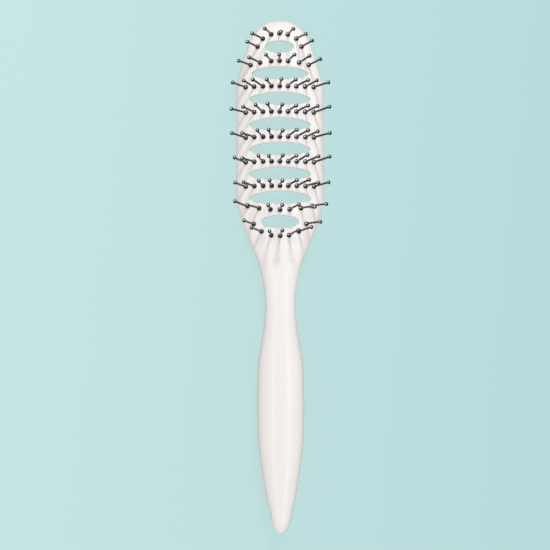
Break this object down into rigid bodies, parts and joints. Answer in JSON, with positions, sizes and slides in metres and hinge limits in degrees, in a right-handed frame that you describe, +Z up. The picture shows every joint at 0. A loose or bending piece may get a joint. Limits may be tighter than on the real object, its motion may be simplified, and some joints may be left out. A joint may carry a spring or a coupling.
{
  "type": "vented styling brush",
  "caption": "Vented hair styling brush: an arched white head with open slots across it, rows of ball-tipped dark pins and a spindle handle.",
  "frame": {"origin": "under the middle of the brush, on the surface it lies on", "axes": "+Y along the brush to the tip of the head, +Z up, the way the pins point, +X to the right"},
  "size_m": [0.0476, 0.237, 0.0234],
  "materials": {
    "body_white": "glossy warm white moulded plastic",
    "pin_nylon": "smooth charcoal nylon with a soft shine"
  },
  "bodies": {
    "root": {"brush_body": "body_white", "pin_strip_1": "pin_nylon", "pin_strip_2": "pin_nylon", "pin_strip_3": "pin_nylon", "pin_strip_4": "pin_nylon", "pin_strip_5": "pin_nylon", "pin_strip_6": "pin_nylon", "pin_strip_7": "pin_nylon", "pin_strip_8": "pin_nylon", "pin_strip_9": "pin_nylon"}
  },
  "joints": []
}
